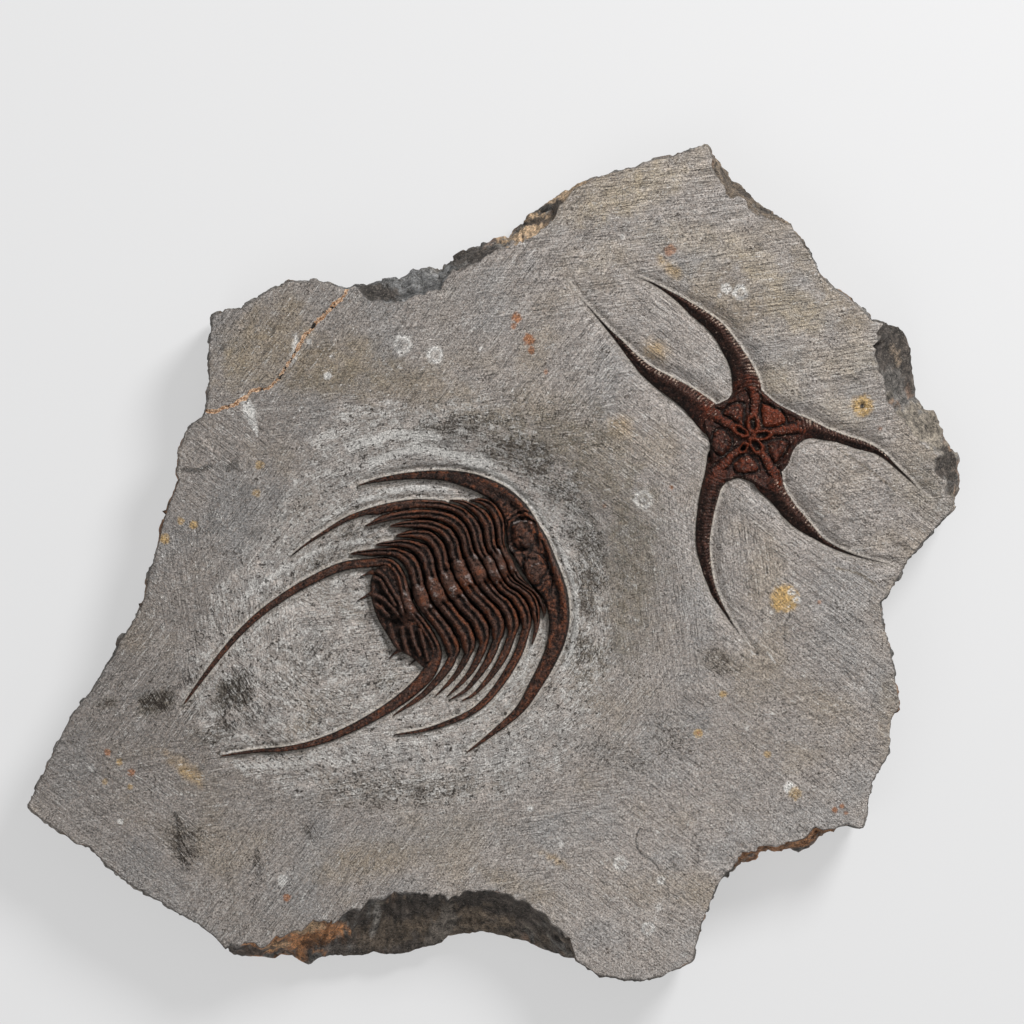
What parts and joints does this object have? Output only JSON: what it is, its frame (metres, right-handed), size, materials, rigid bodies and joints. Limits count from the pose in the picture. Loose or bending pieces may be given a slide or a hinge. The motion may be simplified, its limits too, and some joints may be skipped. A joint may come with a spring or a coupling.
{
  "type": "trilobite fossil plate",
  "caption": "Irregular slab of grey mudstone with a long-spined trilobite prepared in a shallow hollow and a brittle star beside it.",
  "frame": {"origin": "under the middle of the slab's bounding box, on its flat back", "axes": "+Z out of the fossil face, +X along the slab's long side towards the star, +Y across it"},
  "size_m": [0.3409, 0.305, 0.0305],
  "materials": {
    "mudstone": "brushed grey mudstone, chalky round the fossils, dark where broken",
    "trilobite_shell": "dark red-brown mineralised shell with a soft gloss",
    "star_ossicles": "dark brown crystalline plates, satin"
  },
  "bodies": {
    "root": {"matrix_slab": "mudstone", "corner_fragment": "mudstone", "cephalon": "trilobite_shell", "thoracic_segment_1": "trilobite_shell", "thoracic_segment_2": "trilobite_shell", "thoracic_segment_3": "trilobite_shell", "thoracic_segment_4": "trilobite_shell", "thoracic_segment_5": "trilobite_shell", "thoracic_segment_6": "trilobite_shell", "thoracic_segment_7": "trilobite_shell", "thoracic_segment_8": "trilobite_shell", "pygidium": "trilobite_shell", "star_disc": "star_ossicles", "star_arm_1": "star_ossicles", "star_arm_2": "star_ossicles", "star_arm_3": "star_ossicles", "star_arm_4": "star_ossicles", "star_arm_5": "star_ossicles"}
  },
  "joints": []
}
